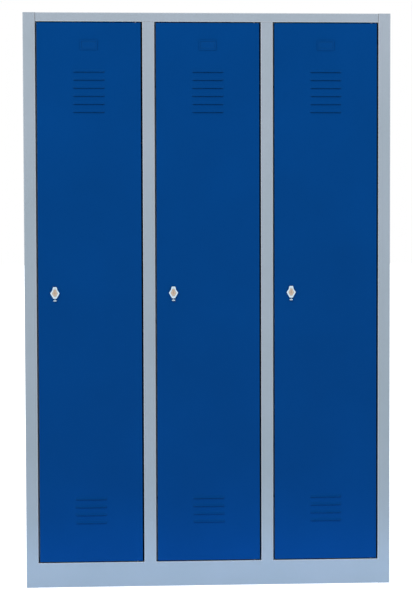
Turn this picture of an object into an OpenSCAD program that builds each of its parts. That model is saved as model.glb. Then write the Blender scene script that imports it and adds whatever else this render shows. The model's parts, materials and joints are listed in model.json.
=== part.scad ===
// Three-bay steel clothes locker: a spot-welded carcass with a folded front frame,
// three louvred pan doors on concealed pivot pins, and a turn latch on each door.
// Origin: on the floor, at the centre of the case. The doors face -Y, +Z is up.

/* [Case] */
// Overall width of the three bays
case_w = 1150; // [1000:10:1300]
// Overall height
case_h = 1800; // [1700:10:1950]
// Depth from the front frame to the rear edge of the sides
case_d = 500; // [460:10:560]
// Thickness of the steel sheet
sheet = 1; // [0.8:0.1:1.2]

/* [Front frame] */
// Visible width of the two outer uprights
stile_w = 38; // [30:0.5:45]
// Visible width of the two uprights between doors
mullion_w = 37.5; // [30:0.5:45]
// Height of the top rail
top_rail_h = 28; // [20:1:50]
// Height of the plinth
plinth_h = 78; // [60:1:110]
// How far the frame members return behind their faces
return_d = 22; // [21:1:26]
// How far the top and bottom flanges of the frame reach back
flange_d = 34; // [30:1:40]

/* [Doors] */
// Gap above and below a door
end_gap = 3; // [2.5:0.5:4]
// Gap between a door and the uprights beside it
side_gap = 5; // [3:0.5:5.5]
// Depth of the folded door pan
door_t = 18; // [16:1:19]
// Height of a louvre hood
louvre_h = 9; // [7:0.5:12]
// How far a louvre hood stands out
louvre_out = 5; // [3:0.5:6]
// Length of a louvre
louvre_l = 100; // [80:5:140]
// Distance between louvres
louvre_pitch = 25; // [20:1:30]
// Louvres in the upper group
upper_count = 6; // [4:1:7]
// Louvres in the lower group
lower_count = 4; // [3:1:6]
// Height of the lowest louvre lip above the floor
lower_louvre_z = 202; // [180:1:260]
// Distance from the top of the opening down to the highest louvre lip
upper_louvre_drop = 157; // [140:1:200]
// Distance from the top of the opening down to the middle of the card frame
label_drop = 72; // [50:1:90]
// Height of the latch above the floor
latch_z = 925; // [850:5:1000]
// Distance from the opening's edge to the latch
latch_inset = 57; // [55:1:62]

/* [Fittings] */
// Height of the hat shelf's top surface
shelf_z = 1470; // [1420:5:1500]
// Depth of the hat shelf
shelf_d = 400; // [300:10:400]
// Diameter of the coat rail
rail_dia = 16; // [14:1:20]
// Distance from the shelf down to the coat rail's centre
rail_drop = 60; // [50:5:80]
// Radius of the hinge pins
pin_r = 3; // [2.5:0.25:3.5]
// Radial clearance of the running fits
running = 0.05; // [0.02:0.01:0.08]

/* [Hidden] */
$fn = 48;
bays = ["left", "middle", "right"];

front_y = -case_d / 2;
back_y = case_d / 2;

// Gap left between bodies that meet without being fixed to each other
touch_gap = 0.3;
side_x = case_w / 2;

// Openings: left edge of each, and their common width
opening_w = (case_w - 2 * stile_w - 2 * mullion_w) / 3;
function opening_x(i) = -side_x + stile_w + i * (opening_w + mullion_w);
opening_top = case_h - top_rail_h;

// Plane behind the frame members, where the stop strips lie
stop_y = front_y + return_d;
stop_lap = 10;
wall_y = stop_y + sheet;

// Centre plane of the partition to the right of bay i
function partition_x(i) = opening_x(i) + opening_w + mullion_w / 2;

// Clear space between the walls of bay i
function bay_lo(i) = i == 0 ? -side_x + sheet : partition_x(i - 1) + sheet / 2;
function bay_hi(i) = i == 2 ? side_x - sheet : partition_x(i) - sheet / 2;

// Back panel, set in by its rivet heads
back_inset = 1;
back_in_y = back_y - back_inset - sheet;
floor_z = plinth_h - sheet;

// Doors
door_w = opening_w - 2 * side_gap;
door_lo_z = plinth_h + end_gap;
door_hi_z = opening_top - end_gap;
pin_in_x = 16;
pin_in_y = 8;
function door_x(i) = opening_x(i) + side_gap;
function pin_x(i) = door_x(i) + door_w - pin_in_x;
pin_y = front_y + pin_in_y;
function latch_x(i) = opening_x(i) + latch_inset;
door_lip = 12;
label_w = 54;
label_h = 32;
label_z = opening_top - label_drop;
upper_louvre_z = opening_top - upper_louvre_drop;

// Pivots
bush_r = 5;
bush_flange_r = 6.5;
bush_flange_t = 1.2;
pin_reach = 5;
pin_length = 34;
pin_collar_t = 3;

// Latch
barrel_r = 9.5;
spindle_r = 5;
bezel_t = 1.5;
knob_t = 4;
knob_grip_t = 8;
cam_lap = 14;
cam_length = latch_inset + cam_lap;
cam_w = 18;
cam_t = 2.5;
cam_clear = 3;
cam_y = wall_y + cam_clear;
nut_t = 5;

// Fixings
rivet_r = 4;
rivet_t = 0.8;
wall_hole_r = 4;
wall_hole_x = side_x - 75;
wall_hole_z = case_h - 100;
shelf_fold = 20;
shelf_gap_back = 2;
shelf_front_y = back_in_y - shelf_gap_back - shelf_d;
rail_y = (shelf_front_y + back_in_y) / 2;
rail_z = shelf_z - rail_drop;
socket_r = rail_dia / 2 + 5;
socket_t = 6;
rail_wall = 1.2;

// Coat hooks: heights are measured from the plate's middle
hook_z = shelf_z - 70;
hook_plate_w = 24;
hook_plate_h = 50;
hook_plate_t = 2;
hook_rod_r = 3;
hook_bend = 9;
hook_ball_r = 4.2;
hook_upper = [14, 46];
hook_lower = [-10, 28];
hook_hole_zs = [-20, 2];
hook_hole_r = 2;

frame_blue = "#9CB0C4";
door_blue = "#004184";
chrome = "#C8CCD0";
zinc = "#A9ADB0";
nylon = "#E6E6E0";
dark_rubber = "#2A2A2C";

// A box between two corners
module block(lo, hi) {
  translate(lo)
    cube(hi - lo);
}

// A cylinder along +Y from y = 0
module along_y(r, length) {
  rotate([-90, 0, 0])
    cylinder(r = r, h = length);
}

// Side sheet from the floor to the top; side_sign is -1 on the left and 1 on the right
module side(side_sign) {
  color(frame_blue)
    translate([side_sign > 0 ? side_x - sheet : -side_x, front_y + sheet, 0])
      cube([sheet, case_d - sheet, case_h]);
}

// Back sheet with a wall fixing hole near each upper corner
module back_panel() {
  color(frame_blue)
    difference() {
      block([-side_x + sheet, back_in_y, 0], [side_x - sheet, back_in_y + sheet, case_h]);
      for (x = [-wall_hole_x, wall_hole_x])
        translate([x, back_in_y - sheet, wall_hole_z])
          along_y(wall_hole_r, 3 * sheet);
    }
}

module top_panel() {
  color(frame_blue)
    block([-side_x + sheet, front_y + sheet, case_h - sheet], [side_x - sheet, back_in_y, case_h]);
}

module floor_panel() {
  color(frame_blue)
    block([-side_x + sheet, wall_y, floor_z - sheet], [side_x - sheet, back_in_y, floor_z]);
}

// Wall between bay i and the next, its front corners notched round the frame's flanges
module partition(i) {
  notch_y = front_y + flange_d;
  color(frame_blue)
    difference() {
      block([partition_x(i) - sheet / 2, wall_y, floor_z],
            [partition_x(i) + sheet / 2, back_in_y, case_h - sheet]);
      block([partition_x(i) - sheet, wall_y - sheet, floor_z - sheet],
            [partition_x(i) + sheet, notch_y, plinth_h]);
      block([partition_x(i) - sheet, wall_y - sheet, opening_top],
            [partition_x(i) + sheet, notch_y, case_h]);
    }
}

// Channel of width w with its face to the front, from z_lo to z_hi; its returns stop at return_hi
module upright(x, w, z_lo, z_hi, return_hi, outer_lap_left, outer_lap_right) {
  block([x, front_y, z_lo], [x + w, front_y + sheet, z_hi]);
  for (rx = [x + outer_lap_left, x + w - sheet - outer_lap_right])
    block([rx, front_y + sheet, z_lo], [rx + sheet, stop_y, return_hi]);
}

module stile(side_sign) {
  color(frame_blue)
    upright(side_sign > 0 ? side_x - stile_w : -side_x, stile_w, 0, case_h, case_h - sheet,
            side_sign > 0 ? 0 : sheet, side_sign > 0 ? sheet : 0);
}

module mullion(i) {
  color(frame_blue)
    upright(opening_x(i) + opening_w, mullion_w, plinth_h, opening_top, opening_top, 0, 0);
}

module top_rail() {
  rail_back = front_y + flange_d;
  color(frame_blue)
    difference() {
      union() {
        block([-side_x + stile_w, front_y, opening_top],
              [side_x - stile_w, front_y + sheet, case_h]);
        block([-side_x + stile_w, front_y + sheet, opening_top],
              [side_x - stile_w, rail_back, opening_top + sheet]);
      }
      for (i = [0:2])
        translate([pin_x(i), pin_y, opening_top - sheet])
          cylinder(r = bush_r, h = 3 * sheet);
    }
}

module plinth_front() {
  flange_back = front_y + flange_d;
  color(frame_blue)
    difference() {
      union() {
        block([-side_x + stile_w, front_y, 0],
              [side_x - stile_w, front_y + sheet, plinth_h]);
        block([-side_x + stile_w, front_y + sheet, plinth_h - sheet],
              [side_x - stile_w, flange_back, plinth_h]);
        block([-side_x + stile_w, front_y + sheet, 0],
              [side_x - stile_w, flange_back, sheet]);
      }
      for (i = [0:2])
        translate([pin_x(i), pin_y, plinth_h - 2 * sheet])
          cylinder(r = bush_r, h = 3 * sheet);
    }
}

module plinth_rear() {
  color(frame_blue)
    difference() {
      block([-side_x + sheet, back_in_y - flange_d, 0],
            [side_x - sheet, back_in_y, floor_z - sheet]);
      block([-side_x, back_in_y - flange_d - sheet, sheet],
            [side_x, back_in_y - sheet, floor_z - 2 * sheet]);
    }
}

// Flat strip behind the lock-side upright of bay i: it laps into the opening and stops the door
module stop_strip(i) {
  x_lo = i == 0 ? -side_x + sheet : opening_x(i) - mullion_w;
  color(frame_blue)
    block([x_lo, stop_y, plinth_h], [opening_x(i) + stop_lap, wall_y, opening_top]);
}

module hat_shelf(i) {
  lo = bay_lo(i);
  hi = bay_hi(i);
  shelf_back_y = shelf_front_y + shelf_d;
  color(frame_blue)
    difference() {
      block([lo, shelf_front_y, shelf_z - shelf_fold], [hi, shelf_back_y, shelf_z]);
      block([lo + sheet, shelf_front_y + sheet, shelf_z - shelf_fold - sheet],
            [hi - sheet, shelf_back_y - sheet, shelf_z - sheet]);
    }
}

// Tube between the bottoms of its two cups
module coat_rail(i) {
  color(zinc)
    translate([bay_lo(i) + sheet, rail_y, rail_z])
      rotate([0, 90, 0])
        difference() {
          cylinder(d = rail_dia, h = bay_hi(i) - bay_lo(i) - 2 * sheet);
          translate([0, 0, -sheet])
            cylinder(d = rail_dia - 2 * rail_wall, h = bay_hi(i) - bay_lo(i));
        }
}

// Flanged cup that holds one end of a coat rail; its mouth points to +X
module rail_socket() {
  rotate([0, 90, 0])
    difference() {
      cylinder(r = socket_r, h = socket_t);
      translate([0, 0, sheet])
        cylinder(d = rail_dia, h = socket_t);
    }
}

module rail_sockets() {
  color(zinc)
    for (i = [0:2]) {
      translate([bay_lo(i), rail_y, rail_z])
        rail_socket();
      translate([bay_hi(i), rail_y, rail_z])
        mirror([1, 0, 0])
          rail_socket();
    }
}

// Round rod that stands out of the plate and turns up into a ball; prong = [height, reach]
module hook_prong(prong) {
  reach = prong[1];
  translate([0, -reach, prong[0]]) {
    along_y(hook_rod_r, reach - hook_plate_t / 2);
    translate([0, 0, hook_bend])
      rotate([0, 90, 0])
        rotate_extrude(angle = -90)
          translate([hook_bend, 0])
            circle(r = hook_rod_r);
    translate([0, -hook_bend, hook_bend])
      sphere(r = hook_ball_r);
  }
}

// Double hook: a plate on the back panel with an upper and a lower prong
module coat_hook(i) {
  color(zinc)
    translate([(bay_lo(i) + bay_hi(i)) / 2, back_in_y, hook_z])
      difference() {
        union() {
          block([-hook_plate_w / 2, -hook_plate_t, -hook_plate_h / 2],
                [hook_plate_w / 2, 0, hook_plate_h / 2]);
          hook_prong(hook_upper);
          hook_prong(hook_lower);
        }
        for (z = hook_hole_zs)
          translate([0, -2 * hook_plate_t, z])
            along_y(hook_hole_r, 3 * hook_plate_t);
      }
}

module hook_screws() {
  head_r = 3.6;
  head_t = 2;
  color(zinc)
    for (i = [0:2], z = hook_hole_zs)
      translate([(bay_lo(i) + bay_hi(i)) / 2, back_in_y - hook_plate_t, hook_z + z]) {
        translate([0, -head_t, 0])
          along_y(head_r, head_t);
        along_y(hook_hole_r, hook_plate_t);
      }
}

// Rivet head on the inner face of a shelf's side fold
module shelf_rivets() {
  margin = 60;
  crown_r = 2.4;
  color(zinc)
    for (i = [0:2], y = [shelf_front_y + margin, shelf_front_y + shelf_d - margin])
      for (end = [[bay_lo(i) + sheet, 90], [bay_hi(i) - sheet, -90]])
        translate([end[0], y, shelf_z - shelf_fold / 2])
          rotate([0, end[1], 0])
            cylinder(r1 = rivet_r, r2 = crown_r, h = rivet_t);
}

module back_rivets() {
  rows = 7;
  margin_z = 60;
  edge = 10;
  step = (case_h - 2 * margin_z) / (rows - 1);
  color(zinc)
    for (x = [-side_x + edge, partition_x(0), partition_x(1), side_x - edge], k = [0:rows - 1])
      translate([x, back_in_y + sheet, margin_z + k * step])
        along_y(rivet_r, rivet_t);
}

// Flanged nylon bush, its flange on top when seen from +Z
module hinge_bush() {
  difference() {
    union() {
      cylinder(r = bush_r, h = sheet);
      translate([0, 0, sheet])
        cylinder(r = bush_flange_r, h = bush_flange_t);
    }
    translate([0, 0, -sheet])
      cylinder(r = pin_r + running, h = 3 * sheet + bush_flange_t);
  }
}

module hinge_bushes() {
  color(nylon)
    for (i = [0:2]) {
      translate([pin_x(i), pin_y, opening_top])
        hinge_bush();
      translate([pin_x(i), pin_y, plinth_h])
        mirror([0, 0, 1])
          hinge_bush();
    }
}

// Rubber buttons on the stop strips, two per door
module door_buffers() {
  buffer_r = 3.5;
  edge = 4;
  from_end = 200;
  buffer_t = stop_y - (front_y + door_t) - touch_gap;
  color(dark_rubber)
    for (i = [0:2], z = [plinth_h + from_end, opening_top - from_end])
      translate([opening_x(i) + stop_lap - edge, stop_y - buffer_t, z])
        along_y(buffer_r, buffer_t);
}

// Quarter-ellipse outline of a louvre hood: out from the sheet along -Y, closed at the lip z = 0
function hood_arc(out, h, steps = 8) =
  [for (k = [0:steps]) let (a = 90 * k / steps) [-out * sin(a), h * cos(a)]];

module louvre_hood() {
  rotate([90, 0, 90])
    translate([0, 0, -louvre_l / 2])
      difference() {
        linear_extrude(louvre_l)
          polygon(concat(hood_arc(louvre_out, louvre_h), [[0, 0]]));
        translate([0, 0, sheet])
          linear_extrude(louvre_l - 2 * sheet)
            polygon(concat([[sheet, louvre_h - sheet]],
                           hood_arc(louvre_out - sheet, louvre_h - sheet),
                           [[-louvre_out + sheet, -sheet], [sheet, -sheet]]));
      }
}

// Lip heights of every louvre on a door
louvre_zs = concat(
  [for (k = [0:upper_count - 1]) upper_louvre_z - k * louvre_pitch],
  [for (k = [0:lower_count - 1]) lower_louvre_z + k * louvre_pitch]);

module door_panel(i) {
  x0 = door_x(i);
  x1 = x0 + door_w;
  xm = (x0 + x1) / 2;
  y1 = front_y + door_t;
  color(door_blue)
    difference() {
      union() {
        difference() {
          block([x0, front_y, door_lo_z], [x1, y1, door_hi_z]);
          block([x0 + sheet, front_y + sheet, door_lo_z + sheet],
                [x1 - sheet, y1 - sheet, door_hi_z - sheet]);
          block([x0 + door_lip, y1 - 2 * sheet, door_lo_z + door_lip],
                [x1 - door_lip, y1 + sheet, door_hi_z - door_lip]);
          for (z = louvre_zs)
            block([xm - louvre_l / 2 + sheet, front_y - sheet, z],
                  [xm + louvre_l / 2 - sheet, front_y + 2 * sheet, z + louvre_h - sheet]);
        }
        for (z = louvre_zs)
          translate([xm, front_y, z])
            louvre_hood();
      }
      translate([latch_x(i), front_y - sheet, latch_z])
        along_y(barrel_r, 3 * sheet);
      for (z = [door_lo_z - sheet, door_hi_z - 2 * sheet])
        translate([pin_x(i), pin_y, z])
          cylinder(r = pin_r, h = 3 * sheet);
    }
}

// Hat-section stiffener down the back of the door sheet, between the lock and the louvres
module door_stiffener(i) {
  crown_w = 30;
  crown_d = 10;
  foot = 12;
  from_hinge_edge = 62;
  from_end = 30;
  x = door_x(i) + door_w - from_hinge_edge;
  z0 = door_lo_z + from_end;
  z1 = door_hi_z - from_end;
  y0 = front_y + sheet;
  color(door_blue) {
    block([x - crown_w / 2, y0 + crown_d - sheet, z0], [x + crown_w / 2, y0 + crown_d, z1]);
    for (s = [-1, 1]) {
      translate([x + s * (crown_w / 2 - sheet / 2) - sheet / 2, y0, z0])
        cube([sheet, crown_d - sheet, z1 - z0]);
      translate([x + s * (crown_w / 2 + foot / 2) - foot / 2, y0, z0])
        cube([foot, sheet, z1 - z0]);
    }
  }
}

// Pivot pins at the top and bottom of the hinge side, each with a collar inside the fold
module hinge_pins(i) {
  collar_r = pin_r + 1.5;
  color(zinc)
    for (end = [[door_hi_z, 0], [door_lo_z, 1]])
      translate([pin_x(i), pin_y, end[0]])
        mirror([0, 0, end[1]]) {
          translate([0, 0, -pin_length + pin_reach])
            cylinder(r = pin_r, h = pin_length);
          translate([0, 0, -sheet - pin_collar_t])
            cylinder(r = collar_r, h = pin_collar_t);
        }
}

// Pressed card frame with a sunken window
module label_holder(i) {
  rim = 3;
  plate_t = 0.8;
  rim_t = 2;
  xm = door_x(i) + door_w / 2;
  color(door_blue)
    difference() {
      block([xm - label_w / 2, front_y - rim_t, label_z - label_h / 2],
            [xm + label_w / 2, front_y, label_z + label_h / 2]);
      block([xm - label_w / 2 + rim, front_y - 2 * rim_t, label_z - label_h / 2 + rim],
            [xm + label_w / 2 - rim, front_y - plate_t, label_z + label_h / 2 - rim]);
    }
}

// Half outline of the diamond handle, from its bottom tip to its top tip
latch_half = [[5.5, -16.5], [13.5, -0.5], [15, 2], [13.5, 5], [8.5, 12.5], [7.6, 17], [6.2, 21], [5.2, 22.5]];

// Diamond outline grown or shrunk about its centre
module diamond(k) {
  scale(k)
    polygon(concat(latch_half, [for (j = [len(latch_half) - 1:-1:0])
                                [-latch_half[j][0], latch_half[j][1]]]));
}

// Fixed base, threaded barrel through the door, and the bore that the spindle turns in
module lock_plate(i) {
  bezel_r = 12;
  barrel_l = cam_y - 4 * sheet - front_y;
  color(chrome)
    translate([latch_x(i), front_y, latch_z])
      difference() {
        union() {
          translate([0, -bezel_t, 0])
            along_y(bezel_r, bezel_t);
          along_y(barrel_r, barrel_l);
        }
        translate([0, -2 * bezel_t, 0])
          along_y(spindle_r + running, barrel_l + 3 * bezel_t);
      }
}

module lock_nut(i) {
  corner_r = 14;
  color(zinc)
    translate([latch_x(i), front_y + sheet, latch_z])
      difference() {
        rotate([-90, 0, 0])
          cylinder(r = corner_r, h = nut_t, $fn = 6);
        translate([0, -nut_t, 0])
          along_y(barrel_r, 3 * nut_t);
      }
}

// Diamond handle with a raised grip, a thumb tab below it on a thin neck, and the spindle
module lock_knob(i) {
  base_y = front_y - bezel_t - touch_gap;
  shoulder_t = 1.5;
  tab_w = 11;
  tab_lo = -23.5;
  tab_hi = -18.5;
  neck_w = 9;
  neck_hi = -16;
  color(chrome)
    translate([latch_x(i), base_y, latch_z]) {
      rotate([90, 0, 0]) {
        linear_extrude(knob_t)
          diamond(1);
        translate([0, 0, knob_t])
          linear_extrude(shoulder_t)
            diamond(0.85);
        translate([0, 0, knob_t + shoulder_t])
          linear_extrude(knob_grip_t - shoulder_t)
            diamond(0.6);
      }
      block([-tab_w / 2, -knob_t, tab_lo], [tab_w / 2, -sheet, tab_hi]);
      block([-neck_w / 2, -2 * sheet, tab_hi - sheet / 2], [neck_w / 2, -sheet, neck_hi]);
      along_y(spindle_r, cam_y + cam_t - base_y);
    }
}

// Flat arm on the spindle: it hangs at rest and turns behind the stop strip to lock
module lock_cam(i) {
  color(zinc)
    translate([latch_x(i), cam_y, latch_z])
      difference() {
        union() {
          along_y(cam_w / 2, cam_t);
          block([-cam_w / 2, 0, -cam_length + cam_w / 2], [cam_w / 2, cam_t, 0]);
          translate([0, 0, -cam_length + cam_w / 2])
            along_y(cam_w / 2, cam_t);
        }
        translate([0, -cam_t, 0])
          along_y(spindle_r, 3 * cam_t);
      }
}

// Washer-head screw that clamps the cam to the spindle, with a driver slot
module cam_screw(i) {
  head_r = 7;
  head_t = 3;
  slot_w = 1.2;
  slot_d = 1;
  color(zinc)
    translate([latch_x(i), cam_y + cam_t, latch_z])
      difference() {
        along_y(head_r, head_t);
        translate([-2 * head_r, head_t - slot_d, -slot_w / 2])
          cube([4 * head_r, 2 * slot_d, slot_w]);
      }
}

side(-1);  // side_left
side(1);  // side_right
back_panel();
top_panel();
floor_panel();
partition(0);  // partition_left
partition(1);  // partition_right
stile(-1);  // stile_left
stile(1);  // stile_right
mullion(0);  // mullion_left
mullion(1);  // mullion_right
top_rail();
plinth_front();
plinth_rear();
rail_sockets();
hook_screws();
shelf_rivets();
back_rivets();
hinge_bushes();
door_buffers();
for (i = [0:2]) {
  stop_strip(i);
  hat_shelf(i);
  coat_rail(i);
  coat_hook(i);
  door_panel(i);
  door_stiffener(i);
  hinge_pins(i);
  label_holder(i);
  lock_plate(i);
  lock_nut(i);
  lock_knob(i);
  lock_cam(i);
  cam_screw(i);
}
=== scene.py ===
import bmesh
import bpy
import json
import math
import numpy as np
from mathutils import Matrix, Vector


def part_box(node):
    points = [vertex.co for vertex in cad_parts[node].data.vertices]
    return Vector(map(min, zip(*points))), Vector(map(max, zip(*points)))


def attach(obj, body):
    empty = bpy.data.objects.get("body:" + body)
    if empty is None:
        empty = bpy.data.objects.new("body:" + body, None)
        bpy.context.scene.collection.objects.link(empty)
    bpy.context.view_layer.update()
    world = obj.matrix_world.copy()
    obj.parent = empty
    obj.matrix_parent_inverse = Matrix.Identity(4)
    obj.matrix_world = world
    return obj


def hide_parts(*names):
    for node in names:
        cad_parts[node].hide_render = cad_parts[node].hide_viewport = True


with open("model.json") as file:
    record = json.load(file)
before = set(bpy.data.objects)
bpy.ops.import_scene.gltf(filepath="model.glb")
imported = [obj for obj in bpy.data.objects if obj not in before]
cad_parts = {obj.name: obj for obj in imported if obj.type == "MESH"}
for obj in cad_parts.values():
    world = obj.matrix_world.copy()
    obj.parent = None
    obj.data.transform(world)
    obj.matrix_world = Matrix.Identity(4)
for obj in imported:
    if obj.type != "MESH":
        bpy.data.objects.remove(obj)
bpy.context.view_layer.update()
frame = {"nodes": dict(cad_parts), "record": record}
print("frame loaded:", len(frame["nodes"]), "nodes")

mm = 0.001
guard = 0.6 * mm      # a row this close to an edge or a fold keeps its shading and its paint from spreading
merge = 0.004 * mm    # points closer than this are one point
bays = ["left", "middle", "right"]
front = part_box("stile_left")[0].y            # the plane of the front frame
caseLeft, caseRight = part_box("side_left")[0].x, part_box("side_right")[1].x
caseBack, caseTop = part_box("side_left")[1].y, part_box("side_left")[1].z


# A line with rounded corners: each corner gives way to the arc that touches both legs, starting
# radius * tan(half turn) before it. A guard point stands a little way beyond each end of the arc,
# so that shading stays flat on the flats.
def roundLine(points, radius, steps=6, guard=guard):
    points = [np.array(p, float) for p in points]
    line = [points[0]]
    for before, corner, after in zip(points, points[1:], points[2:]):
        lengthIn, lengthOut = np.linalg.norm(corner - before), np.linalg.norm(after - corner)
        legIn, legOut = (corner - before) / lengthIn, (after - corner) / lengthOut
        turn = math.acos(np.clip(legIn @ legOut, -1, 1))
        reach = radius * math.tan(turn / 2)
        side = legOut - legIn * (legIn @ legOut)
        side = side / np.linalg.norm(side)
        centre = corner - legIn * reach + side * radius
        angle = np.linspace(0, turn, steps + 1)[:, None]
        if lengthIn > reach + 2 * guard:
            line.append(corner - legIn * (reach + guard))
        line.extend(centre - side * radius * np.cos(angle) + legIn * radius * np.sin(angle))
        if lengthOut > reach + 2 * guard:
            line.append(corner + legOut * (reach + guard))
    line.append(points[-1])
    return np.array(line)


# Places from low to high, with a guard place close to each end
def spread(low, high, count):
    return np.concatenate([[low, low + guard], np.linspace(low, high, count)[1:-1], [high - guard, high]])


# A profile carried along a straight path: point (i, j) is profile point i moved to stop j.
# plane names the two axes of the profile, and the third axis is the path.
def carry(profile, plane, stops):
    grid = np.zeros((len(profile), len(stops), 3))
    first, second = "xyz".index(plane[0]), "xyz".index(plane[1])
    grid[:, :, first] = profile[:, 0, None]
    grid[:, :, second] = profile[:, 1, None]
    grid[:, :, 3 - first - second] = np.array(stops)[None, :]
    return grid


# A profile of (radius, height) turned about an axis: point (i, j) is at height i along the axis
# and radius i from it, at angle j
def turned(profile, centre, axis="y", sides=48):
    profile = np.array(profile, float)
    angle = np.linspace(0, 2 * math.pi, sides + 1)
    along = "xyz".index(axis)
    grid = np.zeros((len(profile), len(angle), 3))
    grid[:, :, (along + 1) % 3] = profile[:, 0, None] * np.cos(angle)
    grid[:, :, (along + 2) % 3] = profile[:, 0, None] * np.sin(angle)
    grid[:, :, along] = profile[:, 1, None]
    return grid + np.array(centre)


# Low dome on a disc: radius = R sin a, height = H cos a, closed by the disc
def domeProfile(radius, height, steps=7):
    angle = np.linspace(math.pi / 2, 0, steps)
    curve = np.stack([radius * np.sin(angle), height * np.cos(angle)], -1)
    return np.concatenate([[[0, 0]], curve])


# Rings of a rounded rectangle, as (across, up, out): ring k lies inset k inside the outline at
# height k. Its corner radius shrinks with the inset, and past the middle it closes to a line.
def platedRings(halfWide, halfHigh, cornerRadius, levels, steps=6):
    quarters = [np.linspace(q * 90, q * 90 + 90, steps + 1) for q in range(4)]
    angle = np.radians(np.concatenate(quarters + [[0]]))
    signX = np.append(np.repeat([1, -1, -1, 1], steps + 1), 1)
    signZ = np.append(np.repeat([1, 1, -1, -1], steps + 1), 1)
    inset, height = np.array(levels, float).T[:, :, None]
    radius = np.maximum(cornerRadius - inset, 0)
    across = signX * np.maximum(halfWide - inset - radius, 0) + radius * np.cos(angle)
    up = signZ * np.maximum(halfHigh - inset - radius, 0) + radius * np.sin(angle)
    return np.stack(np.broadcast_arrays(across, up, height), -1)


# Block with rounded edges: the directions of a sphere, pushed out until the n-th powers of their
# shares of the half sizes add up to 1
def roundedBlock(centre, halfSize, power=8, steps=20):
    tilt = np.linspace(-math.pi / 2, math.pi / 2, steps + 1)[:, None]
    turn = np.linspace(0, 2 * math.pi, 2 * steps + 1)[None, :]
    way = [np.cos(tilt) * np.cos(turn), np.sin(tilt), np.cos(tilt) * np.sin(turn)]
    way = np.stack(np.broadcast_arrays(*way), -1)
    size = (np.abs(way) ** power).sum(-1, keepdims=True) ** (-1 / power)
    return np.array(centre) + way * size * np.array(halfSize)


# Quads between neighbouring points of a grid
def gridFaces(shape, start):
    index = np.arange(shape[0] * shape[1]).reshape(shape[:2]) + start
    return np.stack([index[:-1, :-1], index[1:, :-1], index[1:, 1:], index[:-1, 1:]], -1).reshape(-1, 4)


# How far each point lies on a fold or a cut edge, from 0 to 1: the mean of the unit normals round
# a point gets shorter as its faces turn apart, and fullShare is where the paint counts as an edge
def markEdges(mesh, fullShare=0.008):
    corner = np.zeros(len(mesh.loops), int)
    mesh.loops.foreach_get("vertex_index", corner)
    corners, normals = np.zeros(len(mesh.polygons), int), np.zeros(len(mesh.polygons) * 3)
    mesh.polygons.foreach_get("loop_total", corners)
    mesh.polygons.foreach_get("normal", normals)
    total = np.zeros((len(mesh.vertices), 3))
    np.add.at(total, corner, np.repeat(normals.reshape(-1, 3), corners, 0))
    length = np.linalg.norm(total, axis=1) / np.maximum(np.bincount(corner, minlength=len(total)), 1)
    share = mesh.attributes.new("edgeShare", "FLOAT", "POINT")
    share.data.foreach_set("value", np.clip((1 - length) / fullShare, 0, 1))


# One piece from any number of grids: doubles merged, faces turned outwards, then a wall of the
# given thickness grown inwards from an open sheet. trims gives single grids another finish.
def makePiece(name, grids, finish, body, stands, wall=0, facing=None, flatAngle=30, trims=None):
    starts = np.cumsum([0] + [grid.shape[0] * grid.shape[1] for grid in grids])
    verts = np.concatenate([grid.reshape(-1, 3) for grid in grids])
    faces = [gridFaces(grid.shape, start) for grid, start in zip(grids, starts)]
    trims = trims or {}
    kinds = [list(trims).index(k) + 1 if k in trims else 0 for k in range(len(grids))]
    kinds = np.repeat(kinds, [len(quads) for quads in faces])
    mesh = bpy.data.meshes.new(name)
    mesh.from_pydata(verts.tolist(), [], np.concatenate(faces).tolist())
    for coat in [finish] + list(trims.values()):
        mesh.materials.append(coat)
    mesh.polygons.foreach_set("material_index", kinds)
    work = bmesh.new()
    work.from_mesh(mesh)
    bmesh.ops.remove_doubles(work, verts=work.verts, dist=merge)
    bmesh.ops.dissolve_degenerate(work, edges=work.edges, dist=merge / 2)
    bmesh.ops.recalc_face_normals(work, faces=work.faces)
    work.to_mesh(mesh)
    work.free()
    piece = bpy.data.objects.new(name, mesh)
    bpy.context.scene.collection.objects.link(piece)
    if facing is not None:
        normals, areas = np.zeros(len(mesh.polygons) * 3), np.zeros(len(mesh.polygons))
        mesh.polygons.foreach_get("normal", normals)
        mesh.polygons.foreach_get("area", areas)
        if (normals.reshape(-1, 3) * areas[:, None]).sum(0) @ np.array(facing) < 0:
            mesh.flip_normals()
    if wall:
        shell = piece.modifiers.new("wall", "SOLIDIFY")
        shell.thickness = wall
        shell.offset = -1
        shell.use_even_offset = True
        thick = bpy.data.meshes.new_from_object(piece.evaluated_get(bpy.context.evaluated_depsgraph_get()))
        piece.modifiers.clear()
        piece.data = thick
        thick.name = name
        mesh = thick
    mesh.polygons.foreach_set("use_smooth", np.ones(len(mesh.polygons), bool))
    mesh.set_sharp_from_angle(angle=math.radians(flatAngle))
    markEdges(mesh)
    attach(piece, body)
    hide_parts(*stands)
    return piece


# sRGB hex to the linear colour that a shader takes
def hexColour(text):
    part = np.array([int(text[k:k + 2], 16) for k in (1, 3, 5)]) / 255
    linear = np.where(part <= 0.04045, part / 12.92, ((part + 0.055) / 1.055) ** 2.4)
    return (*linear, 1.0)


# One node with its settings and inputs. An input is named, or given by number as i0, i1, ...
def addNode(tree, kind, settings=None, **inputs):
    node = tree.nodes.new(kind)
    for key, value in (settings or {}).items():
        setattr(node, key, value)
    for key, value in inputs.items():
        numbered = key[0] == "i" and key[1:].isdigit()
        socket = node.inputs[int(key[1:])] if numbered else node.inputs[key.replace("_", " ")]
        if isinstance(value, bpy.types.NodeSocket):
            tree.links.new(value, socket)
        else:
            socket.default_value = value
    return node


def newFinish(name):
    finish = bpy.data.materials.new(name)
    finish.use_nodes = True
    tree = finish.node_tree
    tree.nodes.clear()
    shader = addNode(tree, "ShaderNodeBsdfPrincipled")
    addNode(tree, "ShaderNodeOutputMaterial", Surface=shader.outputs[0])
    place = addNode(tree, "ShaderNodeTexCoord").outputs["Object"]
    return finish, tree, shader, place


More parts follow.
